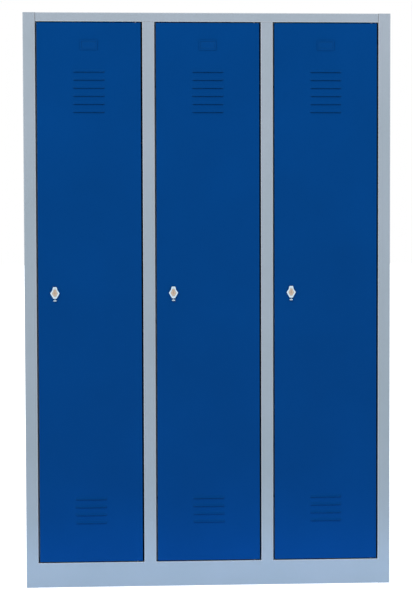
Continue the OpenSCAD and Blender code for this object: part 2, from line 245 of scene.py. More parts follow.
# Polyester powder coat, sprayed and baked on sheet steel: a satin skin with a soft orange peel,
# slightly cloudy in tone, and rubbed near the floor. Over the folds it is paler, partly from the thinner
# coat there and partly as a painted highlight for the light that a fold's radius catches.
# The real peel is about 1.5 mm across, too fine to show from afar, so it is drawn at peelMm.
def powderCoat(name, look):
    finish, tree, shader, place = newFinish(name)
    blend = {"data_type": "RGBA"}
    cloud = addNode(tree, "ShaderNodeTexNoise", Vector=place, Scale=1 / (look["cloudMm"] * mm), Detail=3.0)
    tone = addNode(tree, "ShaderNodeMapRange", Value=cloud.outputs[0], i1=0.3, i2=0.7)
    colour = addNode(tree, "ShaderNodeMix", blend, i0=tone.outputs[0],
                     i6=hexColour(look["shade"]), i7=hexColour(look["colour"]))
    grain = addNode(tree, "ShaderNodeTexNoise", Vector=place, Scale=1 / (look["fleckMm"] * mm), Detail=2.0)
    speck = addNode(tree, "ShaderNodeMapRange", Value=grain.outputs[0],
                    i1=0.62, i2=0.78, i4=look["fleckShare"])
    flecked = addNode(tree, "ShaderNodeMix", blend, i0=speck.outputs[0],
                      i6=colour.outputs[2], i7=hexColour(look["fleck"]))
    fold = addNode(tree, "ShaderNodeAttribute", {"attribute_name": "edgeShare"})
    # Paler colour on folds and cut edges: partly the thinner coat, partly a painted highlight on the fold's
    # radius
    thinCoatAndHighlight = addNode(tree, "ShaderNodeMapRange", Value=fold.outputs["Fac"], i4=look["edgeShare"])
    edged = addNode(tree, "ShaderNodeMix", blend, i0=thinCoatAndHighlight.outputs[0],
                    i6=flecked.outputs[2], i7=hexColour(look["edge"]))
    height = addNode(tree, "ShaderNodeSeparateXYZ", i0=place)
    low = addNode(tree, "ShaderNodeMapRange", Value=height.outputs[2],
                  i1=0.0, i2=look["rubbedMm"] * mm, i3=1.0, i4=0.0)
    streak = addNode(tree, "ShaderNodeMapRange", Value=grain.outputs[0],
                     i1=0.5, i2=0.7, i4=look["rubbedShare"])
    rubbed = addNode(tree, "ShaderNodeMath", {"operation": "MULTIPLY"},
                     i0=low.outputs[0], i1=streak.outputs[0])
    final = addNode(tree, "ShaderNodeMix", blend, i0=rubbed.outputs[0],
                    i6=edged.outputs[2], i7=hexColour(look["rubbed"]))
    gloss = addNode(tree, "ShaderNodeMapRange", Value=cloud.outputs[0],
                    i3=look["roughness"] - 0.04, i4=look["roughness"] + 0.04)
    peel = addNode(tree, "ShaderNodeTexNoise", Vector=place, Scale=1 / (look["peelMm"] * mm), Detail=1.0)
    relief = addNode(tree, "ShaderNodeBump", Strength=look["peel"], Distance=0.2 * mm,
                     Height=peel.outputs[0])
    tree.links.new(final.outputs[2], shader.inputs["Base Color"])
    tree.links.new(gloss.outputs[0], shader.inputs["Roughness"])
    tree.links.new(relief.outputs[0], shader.inputs["Normal"])
    shader.inputs["IOR"].default_value = 1.5
    shader.inputs["Specular IOR Level"].default_value = look["specular"]
    return finish


# Plated metal: clear bright reflections, broken a little by handling haze
def platedMetal(name, look):
    finish, tree, shader, place = newFinish(name)
    haze = addNode(tree, "ShaderNodeTexNoise", Vector=place, Scale=1 / (look["hazeMm"] * mm), Detail=4.0)
    gloss = addNode(tree, "ShaderNodeMapRange", Value=haze.outputs[0], i1=0.3, i2=0.7,
                    i3=look["roughLow"], i4=look["roughHigh"])
    colour = addNode(tree, "ShaderNodeMix", {"data_type": "RGBA"}, i0=haze.outputs[0],
                     i6=hexColour(look["colour"]), i7=hexColour(look["tint"]))
    grain = addNode(tree, "ShaderNodeTexNoise", Vector=place, Scale=1 / (look["grainMm"] * mm), Detail=2.0)
    relief = addNode(tree, "ShaderNodeBump", Strength=look["grain"], Distance=0.05 * mm,
                     Height=grain.outputs[0])
    tree.links.new(colour.outputs[2], shader.inputs["Base Color"])
    tree.links.new(gloss.outputs[0], shader.inputs["Roughness"])
    tree.links.new(relief.outputs[0], shader.inputs["Normal"])
    shader.inputs["Metallic"].default_value = 1.0
    return finish


# Moulded plastic or rubber: an even matt skin with the fine grain of a spark-eroded mould
def mouldedSkin(name, look):
    finish, tree, shader, place = newFinish(name)
    cloud = addNode(tree, "ShaderNodeTexNoise", Vector=place, Scale=1 / (4 * mm), Detail=2.0)
    colour = addNode(tree, "ShaderNodeMix", {"data_type": "RGBA"}, i0=cloud.outputs[0],
                     i6=hexColour(look["colour"]), i7=hexColour(look["shade"]))
    grain = addNode(tree, "ShaderNodeTexNoise", Vector=place, Scale=1 / (0.4 * mm))
    relief = addNode(tree, "ShaderNodeBump", Strength=0.3, Distance=0.05 * mm, Height=grain.outputs[0])
    gloss = addNode(tree, "ShaderNodeMapRange", Value=cloud.outputs[0],
                    i3=look["roughness"] - 0.06, i4=look["roughness"] + 0.06)
    tree.links.new(colour.outputs[2], shader.inputs["Base Color"])
    tree.links.new(gloss.outputs[0], shader.inputs["Roughness"])
    tree.links.new(relief.outputs[0], shader.inputs["Normal"])
    shader.inputs["IOR"].default_value = look["ior"]
    return finish


# Light blue-grey powder coat of the carcass: a cool pale grey, with folds paler partly from a thinner coat
# and partly as a painted highlight
carcassPaint = powderCoat("powderCoatBlueGrey", {
    "colour": "#758490", "shade": "#71818C", "fleck": "#808D97", "fleckShare": 0.25,
    "edge": "#A0ABB3", "edgeShare": 0.45, "rubbed": "#788490", "rubbedMm": 40, "rubbedShare": 0.3,
    "cloudMm": 260, "fleckMm": 5, "peelMm": 5, "peel": 0.12, "roughness": 0.42, "specular": 0.3})
# Deep blue powder coat of the doors: saturated and even, with hardly any sheen, and folds a little paler,
# partly from a thinner coat and partly as a painted highlight
doorPaint = powderCoat("powderCoatDeepBlue", {
    "colour": "#003066", "shade": "#002E62", "fleck": "#00346B", "fleckShare": 0.25,
    "edge": "#0B3869", "edgeShare": 0.25, "rubbed": "#18416E", "rubbedMm": 110, "rubbedShare": 0.15,
    "cloudMm": 260, "fleckMm": 5, "peelMm": 5, "peel": 0.12, "roughness": 0.48, "specular": 0.02})
# Bright chrome on a zinc casting: mirror-like and slightly cool
latchChrome = platedMetal("chromePlate", {
    "colour": "#DEF3FF", "tint": "#D2E9F8", "hazeMm": 12, "roughLow": 0.16, "roughHigh": 0.24,
    "grainMm": 1.5, "grain": 0.05})
# The grip of the latch, rubbed satin by hands and softer than the chrome round it; its warm tan colour is a
# painted reflection of the warm room in front of it
gripChromeWarmReflection = platedMetal("satinGripPaintedWarmReflection", {
    "colour": "#D5C4B5", "tint": "#CCB7A4", "hazeMm": 8, "roughLow": 0.28, "roughHigh": 0.38,
    "grainMm": 0.8, "grain": 0.12})
# Bright-plated tube: a greyer shine than the latch's, with broad faint haze
railChrome = platedMetal("brightPlatedTube", {
    "colour": "#BBBDC0", "tint": "#AEB1B3", "hazeMm": 30, "roughLow": 0.15, "roughHigh": 0.26,
    "grainMm": 1.5, "grain": 0.08})
# Zinc plate on small fixings: greyer and duller, with cloudy patches
zincPlate = platedMetal("zincPlate", {
    "colour": "#A0A4A8", "tint": "#928D7E", "hazeMm": 9, "roughLow": 0.28, "roughHigh": 0.42,
    "grainMm": 0.8, "grain": 0.2})
# Natural nylon: an off-white, slightly waxy skin
bushNylon = mouldedSkin("naturalNylon", {
    "colour": "#CBC9C0", "shade": "#C0BDB3", "roughness": 0.5, "ior": 1.53})
# Black rubber: a dull skin that takes almost no light
bufferRubber = mouldedSkin("blackRubber", {
    "colour": "#242426", "shade": "#1A1A1C", "roughness": 0.75, "ior": 1.52})

slotFinish = {"carcass_paint": carcassPaint, "door_paint": doorPaint, "latch_chrome": latchChrome,
              "rail_steel": railChrome, "zinc_fixings": zincPlate, "bush_nylon": bushNylon,
              "buffer_rubber": bufferRubber}
for part in frame["record"]["subparts"]:
    node = frame["nodes"][part["node"]]
    node.data.materials.clear()
    node.data.materials.append(slotFinish[part["material_slot"]])
print("finishes made")


fold = {
    "radius": 2.0 * mm,      # outside radius of a press-brake fold in 1 mm sheet
    "sheet": 1.0 * mm,
    "seam": 0.25 * mm,       # half of the hairline where two welded members meet
    "butt": 1.2 * mm,        # open joint at each end of the top rail
    "clear": 0.4 * mm,       # from the back of a fold's bend to the sheet behind it
    "flush": 0.02 * mm,      # step between two faces that are ground flush where they're welded
}
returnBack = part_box("mullion_left")[1].y
sideFront = front + fold["radius"] + fold["clear"]    # front edge of the sheets behind the frame's folds
foldBack = sideFront - fold["seam"]


# Folded sheet of the carcass: a profile carried along its length
def carcassFold(name, profile, plane, stops, facing):
    makePiece(name + "_fold", [carry(profile, plane, stops)], carcassPaint, "case", [name],
              wall=fold["sheet"], facing=facing)


# Channel with its face to the front between xLow and xHigh, set back by step
def upright(name, xLow, xHigh, zLow, zHigh, backLow, backHigh, step=0):
    face = front + step
    profile = roundLine([(xLow, backLow), (xLow, face), (xHigh, face), (xHigh, backHigh)], fold["radius"])
    carcassFold(name, profile, "xy", spread(zLow, zHigh, 25), (0, -1, 0))


upright("stile_left", caseLeft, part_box("stile_left")[1].x, 0, caseTop, foldBack, returnBack)
upright("stile_right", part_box("stile_right")[0].x, caseRight, 0, caseTop, returnBack, foldBack)
# Where a member meets the plinth the weld is ground flush: its end runs on behind the fold there
buried = fold["radius"] + 2 * guard
for name in ("mullion_left", "mullion_right"):
    low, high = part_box(name)
    upright(name, low.x, high.x, low.z - buried, high.z - fold["seam"], returnBack, returnBack,
            step=2 * fold["flush"])

railLow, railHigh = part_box("top_rail")
plinthLow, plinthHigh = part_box("plinth_front")
acrossRail = spread(railLow.x + fold["butt"], railHigh.x - fold["butt"], 31)
railLine = [(railHigh.y, railLow.z), (front, railLow.z), (front, caseTop), (foldBack, caseTop)]
carcassFold("top_rail", roundLine(railLine, fold["radius"]), "yz", acrossRail, (0, -1, 0))
flush = front + fold["flush"]
acrossPlinth = spread(plinthLow.x - buried, plinthHigh.x + buried, 31)
plinthLine = [(plinthHigh.y, plinthHigh.z), (flush, plinthHigh.z), (flush, 0), (plinthHigh.y, 0)]
carcassFold("plinth_front", roundLine(plinthLine, fold["radius"]), "yz", acrossPlinth, (0, -1, 0))
for name, x, outward in (("side_left", caseLeft, -1), ("side_right", caseRight, 1)):
    sheetLine = np.array([(x, sideFront), (x, caseBack)])
    carcassFold(name, sheetLine, "xy", spread(0, caseTop, 25), (outward, 0, 0))
topLow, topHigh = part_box("top_panel")
topStops = spread(topLow.x + fold["seam"], topHigh.x - fold["seam"], 25)
carcassFold("top_panel", np.array([(sideFront, caseTop), (topHigh.y, caseTop)]), "yz", topStops, (0, 0, 1))
print("carcass made")


# Folds of a pan made from one sheet, as (u, v, depth) round a face that is a grid of us by vs.
# Ring k stands off the face's edge by its offset along the outward direction, and back by its
# depth. Past the rear fold the lip runs inwards, mitred at the corners.
def foldedPan(us, vs, radius, depth, lip, rearRadius, steps=5, cornerSteps=4):
    nu, nv = len(us), len(vs)
    bottom = [(i, 0) for i in range(nu)]
    right = [(nu - 1, j) for j in range(nv)]
    top = [(i, nv - 1) for i in range(nu - 1, -1, -1)]
    left = [(0, j) for j in range(nv - 1, -1, -1)]
    cells, directions = [], []
    for run, angle in ((bottom, -90), (right, 0), (top, 90), (left, 180)):
        cells += run + [run[-1]] * (cornerSteps - 1)
        directions += [angle] * len(run) + [angle + 90 * k / cornerSteps for k in range(1, cornerSteps)]
    cells, angle = np.array(cells + cells[:1]), np.radians(directions + directions[:1])
    base = np.stack([us[cells[:, 0]], vs[cells[:, 1]]], -1)
    outward = np.stack([np.cos(angle), np.sin(angle)], -1)
    bend = np.radians(np.linspace(90, 0, steps + 1))
    rings = [(radius * math.cos(a), radius * (1 - math.sin(a))) for a in bend]
    rings += [(radius, radius + guard), (radius, depth - rearRadius - guard)]
    rings += [(radius - rearRadius * (1 - math.cos(a)), depth - rearRadius * (1 - math.sin(a)))
              for a in bend[::-1]]
    rings += [(radius - rearRadius - guard, depth), (radius - lip, depth)]
    low, high = base.min(0), base.max(0)
    pan = []
    for offset, back in rings:
        spot = np.clip(base, low - offset, high + offset) if offset < 0 else base + outward * offset
        pan.append(np.concatenate([spot, np.full((len(spot), 1), back)], 1))
    return np.array(pan)


louvre = {
    "length": 100 * mm,
    "rise": 9 * mm,       # height of the hood
    "out": 3.6 * mm,      # how far its lip stands out
    "end": 5 * mm,        # length of the rounded end
    "gap": 1.0 * mm,      # open height between the lip and the sheet below it
    "clear": 2 * mm,      # the sheet is flat from here outwards
    "pitch": 25 * mm,
    "upperTop": 157 * mm,     # from the top of the opening down to the highest lip
    "upperCount": 6,
    "lowerBottom": 202 * mm,  # from the floor up to the lowest lip
    "lowerCount": 4,
}


# Door face with pressed louvres. Across a louvre the hood stands out by out * g(x) * f(z), where
# f = (1 - s^2)^2 falls from the lip (s = 0) to the top of the hood (s = 1), and g = (1 - t^2)^2
# over the rounded ends. The sheet is cut along the lip, so its row is there twice: raised and flat.
# Gives the patches of the face, and the x and z of all its columns and rows.
def louvredFace(xLow, xHigh, zLow, zHigh):
    middle, half, end = (xLow + xHigh) / 2, louvre["length"] / 2, louvre["end"]
    bow = end * np.sin(np.linspace(0, math.pi / 2, 9))
    across = np.concatenate([
        spread(xLow, middle - half - louvre["clear"], 7), middle - half + end - bow[::-1],
        np.linspace(middle - half + end, middle + half - end, 9)[1:-1],
        middle + half - end + bow, spread(middle + half + louvre["clear"], xHigh, 7)])
    t = np.clip((np.abs(across - middle) - (half - end)) / end, 0, 1)
    g = (1 - t ** 2) ** 2
    s = np.linspace(0, 1, 12) ** 1.2
    f = (1 - s ** 2) ** 2
    lowerLips = louvre["lowerBottom"] + louvre["pitch"] * np.arange(louvre["lowerCount"])
    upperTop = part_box("mullion_left")[1].z - louvre["upperTop"]
    upperLips = upperTop - louvre["pitch"] * np.arange(louvre["upperCount"])[::-1]
    lips = np.concatenate([lowerLips, upperLips])
    patches, rows = [], [np.array([zLow])]
    starts = np.append(zLow, lips + louvre["rise"])
    for start, stop in zip(starts, np.append(lips, zHigh)):
        plain = spread(start, stop, 3 if stop - start < louvre["pitch"] else 9)
        patches.append(np.stack(np.broadcast_arrays(across[:, None], front, plain[None, :]), -1))
        rows.append(plain[1:])
        if stop == zHigh:
            break
        hood = front - louvre["out"] * g[:, None] * f[None, :]
        lifted = (stop + s * louvre["rise"])[None, :] + louvre["gap"] * g[:, None] * (1 - s)[None, :] ** 2
        patches.append(np.stack(np.broadcast_arrays(across[:, None], hood, lifted), -1))
        rows.append(stop + s[1:] * louvre["rise"])
    return patches, across, np.concatenate(rows)


doorFold = {"radius": 2.0 * mm, "rearRadius": 1.6 * mm, "lip": 12 * mm}


def doorPan(bay):
    low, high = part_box("door_panel_" + bay)
    r = doorFold["radius"]
    patches, across, rows = louvredFace(low.x + r, high.x - r, low.z + r, high.z - r)
    rings = foldedPan(across, rows, r, high.y - front, doorFold["lip"], doorFold["rearRadius"])
    pan = np.stack([rings[..., 0], front + rings[..., 2], rings[..., 1]], -1)
    makePiece("door_pan_" + bay, patches + [pan], doorPaint, "door_" + bay,
              ["door_panel_" + bay], wall=fold["sheet"], facing=(0, -1, 0))


stiffener = {"crown": 30 * mm, "radius": 2.0 * mm, "foot": 1.2 * mm}   # foot: its outer face off the door


# Hat section: two feet on the door sheet and a crown between them
def doorHat(bay):
    low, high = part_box("door_stiffener_" + bay)
    middle, half, wide = (low.x + high.x) / 2, stiffener["crown"] / 2, (high.x - low.x) / 2
    foot = low.y + stiffener["foot"]
    line = [(middle - wide, foot), (middle - half, foot), (middle - half, high.y),
            (middle + half, high.y), (middle + half, foot), (middle + wide, foot)]
    hat = carry(roundLine(line, stiffener["radius"]), "xy", spread(low.z, high.z, 15))
    makePiece("door_hat_" + bay, [hat], doorPaint, "door_" + bay, ["door_stiffener_" + bay],
              wall=fold["sheet"], facing=(0, 1, 0))


cardFrame = {"rim": 4.5 * mm, "cornerRadius": 3.0 * mm, "edge": 0.7 * mm, "floor": 0.5 * mm,
             "guard": 0.3 * mm}


# Pressed card frame: a rounded rim round a sunken window, as rings of a rounded rectangle
def cardHolder(bay):
    low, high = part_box("label_holder_" + bay)
    tall = high.y - low.y
    rim = roundLine([(0, 0), (0, tall), (cardFrame["rim"], tall), (cardFrame["rim"], cardFrame["floor"])],
                    cardFrame["edge"], steps=4, guard=cardFrame["guard"])
    middleZ, half = (low.z + high.z) / 2, (high.z - low.z) / 2
    levels = np.concatenate([[[half, 0]], rim, [[half, cardFrame["floor"]]]])
    rings = platedRings((high.x - low.x) / 2, half, cardFrame["cornerRadius"], levels)
    grid = [(low.x + high.x) / 2 + rings[..., 0], high.y - rings[..., 2], middleZ + rings[..., 1]]
    grid = np.stack(grid, -1)
    makePiece("card_frame_" + bay, [grid], doorPaint, "door_" + bay, ["label_holder_" + bay])


for bay in bays:
    doorPan(bay)
    doorHat(bay)
    cardHolder(bay)
print("doors made")


shelfFold = {"radius": 2.0 * mm, "rearRadius": 1.5 * mm, "lip": 8 * mm}

for bay in bays:
    low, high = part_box("hat_shelf_" + bay)
    r = shelfFold["radius"]
    us, vs = spread(low.x + r, high.x - r, 9), spread(low.y + r, high.y - r, 9)
    rings = foldedPan(us, vs, r, high.z - low.z, shelfFold["lip"], shelfFold["rearRadius"])
    pan = np.stack([rings[..., 0], rings[..., 1], high.z - rings[..., 2]], -1)
    face = np.stack(np.broadcast_arrays(us[:, None], vs[None, :], high.z), -1)
    makePiece("shelf_pan_" + bay, [face, pan], carcassPaint, "case", ["hat_shelf_" + bay],
              wall=fold["sheet"], facing=(0, 0, 1))
print("shelves made")


rail = {"wall": 1.2 * mm, "flange": 1.4 * mm, "cupWall": 1.6 * mm, "cupDeep": 6 * mm, "cupFloor": 0.8 * mm,
        "fit": 0.1 * mm, "edge": 0.6 * mm, "guard": 0.3 * mm}
tubeLow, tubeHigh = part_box("coat_rail_left")
railRadius = (tubeHigh.z - tubeLow.z) / 2
railY, railZ = (tubeLow.y + tubeHigh.y) / 2, (tubeLow.z + tubeHigh.z) / 2
socketLow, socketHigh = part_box("rail_sockets")
socketRadius = (socketHigh.z - socketLow.z) / 2
cups = []
for bay in bays:
    low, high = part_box("coat_rail_" + bay)
    inner, length = railRadius - rail["wall"], high.x - low.x
    tube = [(inner, 0), (railRadius, 0), (railRadius, length / 2), (railRadius, length), (inner, length),
            (inner, 0)]
    makePiece("coat_tube_" + bay, [turned(tube, (low.x, railY, railZ), "x", 64)], railChrome, "case",
              ["coat_rail_" + bay])
    # Cup pressed from sheet: a flange on the wall and a rolled rim round the tube
    rimRadius, boreRadius = railRadius + rail["cupWall"], railRadius + rail["fit"]
    cup = [(0, 0), (socketRadius, 0), (socketRadius, rail["flange"]), (rimRadius, rail["flange"]),
           (rimRadius, rail["cupDeep"]), (boreRadius, rail["cupDeep"]), (boreRadius, rail["cupFloor"]),
           (0, rail["cupFloor"])]
    cup = roundLine(cup, rail["edge"], steps=4, guard=rail["guard"])
    for wallX, way in ((low.x - fold["sheet"], 1), (high.x + fold["sheet"], -1)):
        cups.append(turned(cup * (1, way), (wallX, railY, railZ), "x", 48))
makePiece("rail_cups", cups, railChrome, "case", ["rail_sockets"])


bevelShare = 0.3    # a worn edge passes this share of its height inside the sharp corner
hook = {
    "plateHalf": 25 * mm, "plateCorner": 5 * mm, "plateEdge": 0.6 * mm, "plate": 2 * mm,
    "rod": 3 * mm, "ball": 4.2 * mm, "bend": 9 * mm, "ballSteps": 8,
    "prongs": [(14 * mm, 46 * mm), (-10 * mm, 28 * mm)],   # height, reach
    "screws": [-20 * mm, 2 * mm], "screwRadius": 3.6 * mm, "screwHead": 2 * mm,
}


# Round rod carried along a line in the plane (back, up): ring i is a circle across the line, and
# its radius swells at the end to sqrt(ball^2 - d^2), where d is the distance to the ball's centre
def hookRod(x, y, z, height, reach):
    tip = np.array([-reach - hook["bend"], height + hook["bend"]])
    line = roundLine([(0, height), (tip[0], height), tip], hook["bend"], steps=10)
    rise = np.linspace(0.1, 1, hook["ballSteps"]) * hook["ball"]
    line = np.concatenate([line, tip + np.outer(rise, (0, 1))])
    d = np.linalg.norm(line - tip, axis=1)
    ball = np.sqrt(np.maximum(hook["ball"] ** 2 - d ** 2, 0))
    last = np.arange(len(line)) >= len(line) - hook["ballSteps"]
    radius = np.where(last, ball, np.maximum(ball, hook["rod"]))
    along = np.gradient(line, axis=0)
    along = along / np.linalg.norm(along, axis=1, keepdims=True)
    angle = np.linspace(0, 2 * math.pi, 25)
    across = radius[:, None] * np.cos(angle)
    aside = radius[:, None] * np.sin(angle)
    grid = np.zeros((len(line), len(angle), 3))
    grid[..., 0] = x + across
    grid[..., 1] = y + line[:, 0, None] - aside * along[:, 1, None]
    grid[..., 2] = z + line[:, 1, None] + aside * along[:, 0, None]
    return grid


# Slotted screw head facing -Y or +Y: a height field over a disc whose lines of equal x are
# straight, height = tall * (1 - crown * (r / R)^2), less the slot's depth between its two walls
def slottedHead(centre, radius, tall, way, slotWide=1.2 * mm, slotDeep=1.0 * mm, crown=0.45):
    half = slotWide / 2
    outer = radius * np.sin(np.linspace(math.asin(half / radius), math.pi / 2, 9))
    columns = np.concatenate([-outer[::-1], [-half, half], outer])
    depth = np.zeros(len(columns))
    depth[len(outer):-len(outer)] = slotDeep
    z = np.linspace(-1, 1, 17)[None, :] * np.sqrt(np.maximum(radius ** 2 - columns[:, None] ** 2, 0))
    x = np.broadcast_to(columns[:, None], z.shape)
    height = tall * (1 - crown * (x ** 2 + z ** 2) / radius ** 2) - depth[:, None]
    top = np.stack([centre[0] + x, centre[1] + way * height, centre[2] + z], -1)
    base = np.stack([centre[0] + x, np.full_like(z, centre[1]), centre[2] + z], -1)
    loops = [np.concatenate([side[:, 0], side[::-1, -1], side[:1, 0]]) for side in (top, base)]
    return [top, base, np.stack(loops)]


screwHeads = []
for bay in bays:
    low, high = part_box("coat_hook_" + bay)
    x, y = (low.x + high.x) / 2, high.y
    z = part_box("hook_screws")[0].z + hook["screwRadius"] - hook["screws"][0]
    edge, deep = hook["plateEdge"], hook["plate"]
    wide, tall = (high.x - low.x) / 2, hook["plateHalf"]
    worn = bevelShare * edge
    levels = [(wide, 0), (0, 0), (0, deep - edge), (worn, deep - worn), (edge, deep), (wide, deep)]
    rings = platedRings(wide, tall, hook["plateCorner"], levels)
    plate = np.stack([x + rings[..., 0], y - rings[..., 2], z + rings[..., 1]], -1)
    rods = [hookRod(x, y - deep / 2, z, height, reach - deep / 2) for height, reach in hook["prongs"]]
    makePiece("double_hook_" + bay, [plate] + rods, zincPlate, "case", ["coat_hook_" + bay])
    for rise in hook["screws"]:
        screwHeads += slottedHead((x, y - deep, z + rise), hook["screwRadius"], hook["screwHead"], -1)
makePiece("hook_screw_heads", screwHeads, zincPlate, "case", ["hook_screws"])


rivet = {"rows": 7, "radius": 4 * mm, "height": 0.8 * mm}

low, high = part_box("back_rivets")
columns = [low.x + rivet["radius"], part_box("partition_left")[0].x + fold["sheet"] / 2,
           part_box("partition_right")[0].x + fold["sheet"] / 2, high.x - rivet["radius"]]
rows = np.linspace(low.z + rivet["radius"], high.z - rivet["radius"], rivet["rows"])
dome = domeProfile(rivet["radius"], high.y - low.y)
heads = [turned(dome, (x, low.y, z), "y", 24) for x in columns for z in rows]
makePiece("back_rivet_heads", heads, zincPlate, "case", ["back_rivets"])

low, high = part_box("shelf_rivets")
heads = []
for bay in bays:
    shelfLow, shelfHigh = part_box("hat_shelf_" + bay)
    for y in (low.y + rivet["radius"], high.y - rivet["radius"]):
        for x, way in ((shelfLow.x + fold["sheet"], 1), (shelfHigh.x - fold["sheet"], -1)):
            dome = domeProfile(rivet["radius"], rivet["height"]) * (1, way)
            heads.append(turned(dome, (x, y, (low.z + high.z) / 2), "x", 24))
makePiece("shelf_rivet_heads", heads, zincPlate, "case", ["shelf_rivets"])
print("inside fittings made")


pivot = {
    "radius": 3.0 * mm, "reach": 5 * mm, "length": 34 * mm, "chamfer": 0.6 * mm,
    "collarRadius": 4.5 * mm, "collar": 3 * mm, "collarEdge": 0.3 * mm,
    "bore": 3.05 * mm, "bushRadius": 5 * mm,
    "flangeRadius": 6.5 * mm, "flange": 1.2 * mm, "flangeEdge": 0.4 * mm,
}


# Pivot pin from its tip inwards, with chamfered ends and a collar under the door's fold
def pinProfile(way):
    r, c, cut = pivot["radius"], pivot["collarRadius"], pivot["collarEdge"]
    seat = pivot["reach"] + fold["sheet"]
    under, end, chamfer = seat + pivot["collar"], pivot["length"], pivot["chamfer"]
    points = [(0, 0), (r - chamfer, 0), (r, chamfer), (r, seat), (c - cut, seat), (c, seat + cut),
              (c, under - cut), (c - cut, under), (r, under), (r, end - chamfer), (r - chamfer, end),
              (0, end)]
    return np.array(points) * (1, way)


# Flanged bush: a ring through the frame's flange with a rounded collar on it
def bushProfile(way):
    b, r, f, t = pivot["bore"], pivot["bushRadius"], pivot["flangeRadius"], fold["sheet"]
    top, cut = t + pivot["flange"], pivot["flangeEdge"]
    points = [(b, 0), (b, top - cut / 2), (b + cut / 2, top), (f - cut, top), (f, top - cut),
              (f, t), (r, t), (r, 0), (b, 0)]
    return np.array(points) * (1, way)


bushes = []
for bay in bays:
    low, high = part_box("hinge_pins_" + bay)
    x, y = (low.x + high.x) / 2, (low.y + high.y) / 2
    pins = [turned(pinProfile(-1), (x, y, high.z), "z", 32), turned(pinProfile(1), (x, y, low.z), "z", 32)]
    makePiece("pivot_pins_" + bay, pins, zincPlate, "door_" + bay, ["hinge_pins_" + bay])
    bushes += [turned(bushProfile(1), (x, y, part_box("top_rail")[0].z), "z", 40),
               turned(bushProfile(-1), (x, y, plinthHigh.z), "z", 40)]
makePiece("pivot_bushes", bushes, bushNylon, "case", ["hinge_bushes"])


buffer = {"radius": 3.5 * mm, "fromEdge": 4 * mm, "crown": 1.2 * mm, "guard": 0.2 * mm}

low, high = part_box("door_buffers")
tall = high.y - low.y
button = roundLine([(buffer["radius"], 0), (buffer["radius"], tall), (0, tall)], buffer["crown"], steps=5,
                   guard=buffer["guard"])
button = np.concatenate([[(0, 0)], button])
buttons = []
for bay in bays:
    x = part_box("stop_strip_" + bay)[1].x - buffer["fromEdge"]
    for z in (low.z + buffer["radius"], high.z - buffer["radius"]):
        buttons.append(turned(button * (1, -1), (x, high.y, z), "y", 32))
makePiece("stop_buttons", buttons, bufferRubber, "case", ["door_buffers"])
print("pivots and buffers made")


latch = {
    "halfOutline": [(5.0, -14.8), (13.2, -0.6), (14.6, 2.0), (13.2, 4.8), (8.2, 12.2), (7.4, 16.8),
                    (6.0, 20.8), (5.0, 22.2)],   # mm
    "cornerRadius": 1.0 * mm,
    "heart": 2.5 * mm,        # height of the diamond's centre over the spindle
    # (share of the outline, height over the base in mm), from the door outwards: a sloping bright rim
    # and a hipped grip inside it
    "rim": [(0.0, 0), (0.96, 0), (0.99, 0.4), (1.0, 1.0), (1.0, 2.2), (0.985, 2.9), (0.95, 3.4), (0.86, 4.0),
            (0.77, 4.6), (0.69, 5.1), (0.665, 5.2), (0.645, 5.1), (0.62, 4.8)],
    "grip": [(0.62, 4.8), (0.605, 5.1), (0.58, 5.4), (0.46, 6.05), (0.34, 6.7), (0.22, 7.35), (0.14, 7.7),
             (0.07, 7.85), (0.0, 7.9)],
    "spindle": 5 * mm, "chamfer": 0.5 * mm,
    "lift": 0.3 * mm,         # gap between the handle and its fixed base
    "guard": 0.5 * mm,
    "blockPower": 2.4,        # 2 makes the tab and the neck egg-shaped, and more makes them boxier
    # (height, out) of the middle, then the half width, half depth and half height, in mm
    "tab": [(-21.0, 2.8), (5.5, 2.2, 2.3)],
    "neck": [(-17.0, 1.2), (0.9, 0.6, 3.0)],
}


# Closed outline with every corner rounded, starting in the middle of its bottom side
def closedOutline(points, radius):
    middle = (np.array(points[-1]) + np.array(points[0])) / 2
    return roundLine([middle] + points + [middle], radius, steps=5, guard=latch["guard"])


# Diamond handle: point (i, j) is outline point j shrunk to the share of level i about the heart,
# and lifted to that level's height
def latchHandle(bay):
    low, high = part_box("lock_knob_" + bay)
    plateLow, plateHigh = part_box("lock_plate_" + bay)
    x, z = (low.x + high.x) / 2, (plateLow.z + plateHigh.z) / 2
    base = plateLow.y - latch["lift"]
    half = [(a * mm, b * mm) for a, b in latch["halfOutline"]]
    outline = closedOutline(half + [(-a, b) for a, b in half[::-1]], latch["cornerRadius"])
    heart = np.array([0, latch["heart"]])

    def levelled(levels):
        share, height = np.array(levels).T[:, :, None]
        spot = heart + (outline - heart)[None] * share[..., None]
        lifted = np.broadcast_to(base - height * mm, spot.shape[:2])
        return np.stack([x + spot[..., 0], lifted, z + spot[..., 1]], -1)

    blocks = []
    for (height, out), size in (latch["tab"], latch["neck"]):
        centre = (x, base - out * mm, z + height * mm)
        blocks.append(roundedBlock(centre, np.array(size) * mm, power=latch["blockPower"]))
    reach, spindle, cut = high.y - base, latch["spindle"], latch["chamfer"]
    shaft = [(0, 0), (spindle, 0), (spindle, reach - cut), (spindle - cut, reach), (0, reach)]
    shaft = turned(shaft, (x, base, z))
    # The grip, grid 1, takes the satin chrome whose warm tan is a painted reflection
    grids = [levelled(latch["rim"]), levelled(latch["grip"]), shaft] + blocks
    makePiece("latch_handle_" + bay, grids, latchChrome, "latch_" + bay,
              ["lock_knob_" + bay], flatAngle=24, trims={1: gripChromeWarmReflection})


latchPlate = {
    "bezelRadius": 12 * mm, "barrelRadius": 9.5 * mm, "bore": 5.05 * mm, "pitch": 1.5 * mm,
    "thread": 0.4 * mm,
    "bezelEdge": [(0.8, 0), (0.2, 0.3), (0, 0.9)],   # (in from the rim, back from the face), in mm
}


